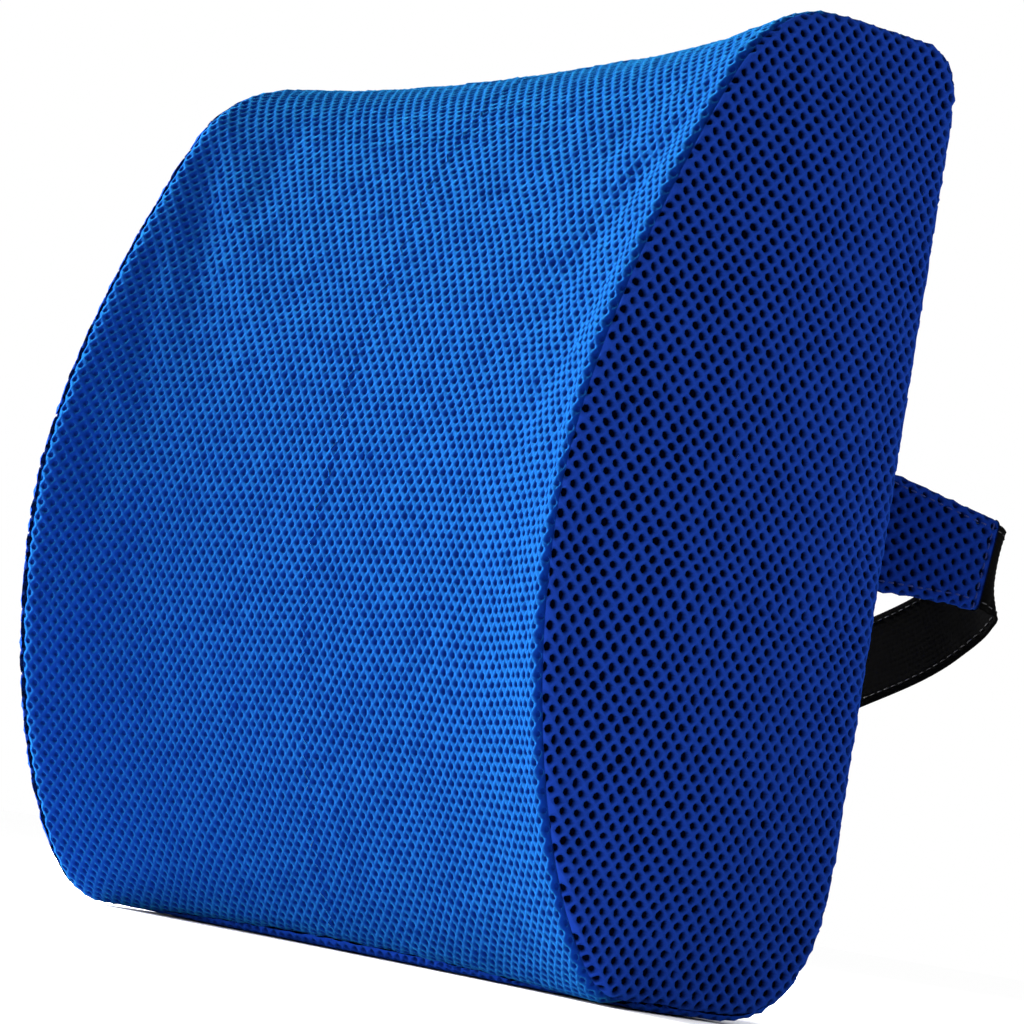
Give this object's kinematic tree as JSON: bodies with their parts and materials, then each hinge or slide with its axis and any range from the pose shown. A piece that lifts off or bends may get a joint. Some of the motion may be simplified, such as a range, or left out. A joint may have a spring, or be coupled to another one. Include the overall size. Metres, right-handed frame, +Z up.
{
  "type": "lumbar support cushion",
  "caption": "Contoured foam lumbar cushion in a zipped perforated-mesh cover, with side tabs and an elastic strap that buckles behind a chair back.",
  "frame": {"origin": "middle of the flat base that the cushion stands on, 60 mm in front of the back plane", "axes": "+Z up, +Y towards the chair back (out of the cushion's back), +X to the right of someone who sees the front"},
  "size_m": [0.35, 0.1985, 0.3296],
  "materials": {
    "front_mesh": "perforated polyester spacer mesh, royal blue",
    "side_mesh": "perforated polyester spacer mesh, royal blue, heavier holes",
    "back_mesh": "perforated polyester spacer mesh, royal blue",
    "tab_mesh": "doubled spacer mesh, royal blue",
    "foam": "open-cell memory foam",
    "liner": "thin knitted jersey",
    "zip_tape": "woven zip tape, navy",
    "zip_coil": "nylon coil, navy",
    "zip_metal": "zinc, gunmetal finish",
    "label": "blank white satin",
    "elastic": "ribbed woven elastic, black",
    "buckle_plastic": "moulded acetal, black, fine texture"
  },
  "bodies": {
    "cushion": {"foam_core": "foam", "core_liner": "liner", "cover_front_panel": "front_mesh", "cover_base_panel": "front_mesh", "cover_side_left": "side_mesh", "cover_side_right": "side_mesh", "cover_back_upper": "back_mesh", "cover_back_lower": "back_mesh", "zip_tape_upper": "zip_tape", "zip_tape_lower": "zip_tape", "zip_coil_upper": "zip_coil", "zip_coil_lower": "zip_coil", "zip_stop_left": "zip_metal", "zip_stop_right": "zip_metal", "care_label": "label", "strap_tab_left": "tab_mesh", "strap_tab_right": "tab_mesh"},
    "strap": {"elastic_left": "elastic", "elastic_right": "elastic", "elastic_tail": "elastic", "buckle_socket": "buckle_plastic"},
    "adjuster": {"strap_adjuster": "buckle_plastic", "elastic_end_loop": "elastic"},
    "plug": {"buckle_plug": "buckle_plastic"},
    "prong_up": {"buckle_prong_upper": "buckle_plastic"},
    "prong_low": {"buckle_prong_lower": "buckle_plastic"},
    "slider": {"zip_slider": "zip_metal"},
    "pull": {"zip_pull": "zip_metal"}
  },
  "joints": [
    {"name": "strap_lift", "type": "hinge", "parent": "cushion", "child": "strap", "pos_m": [0, 0.061, 0.1685], "axis": [1, 0, 0], "range_deg": [0, 60], "deforming": ["strap_tab_left", "strap_tab_right"]},
    {"name": "adjuster_slide", "type": "slide", "parent": "strap", "child": "adjuster", "axis": [1, 0, 0], "range_m": [0, 0.022], "deforming": ["elastic_tail"]},
    {"name": "buckle_release", "type": "slide", "parent": "strap", "child": "plug", "axis": [1, 0, 0], "range_m": [0, 0.03], "deforming": ["elastic_right", "buckle_prong_upper", "buckle_prong_lower"]},
    {"name": "prong_squeeze_upper", "type": "hinge", "parent": "plug", "child": "prong_up", "pos_m": [0.0247, 0.116, 0.125], "axis": [0, -1, 0], "range_deg": [0, 16], "stiffness_Nm_per_rad": 0.05},
    {"name": "prong_squeeze_lower", "type": "hinge", "parent": "plug", "child": "prong_low", "pos_m": [0.0247, 0.116, 0.097], "axis": [0, 1, 0], "range_deg": [0, 16], "stiffness_Nm_per_rad": 0.05},
    {"name": "zip_slide", "type": "slide", "parent": "cushion", "child": "slider", "axis": [1, 0, 0], "range_m": [0, 0.262]},
    {"name": "zip_pull_swing", "type": "hinge", "parent": "slider", "child": "pull", "pos_m": [-0.132, 0.06205, 0.084], "axis": [0, 0, 1], "range_deg": [0, 170]}
  ],
  "couplings": [
    {"joint": "prong_squeeze_lower", "follows": "prong_squeeze_upper", "ratio": 1}
  ]
}
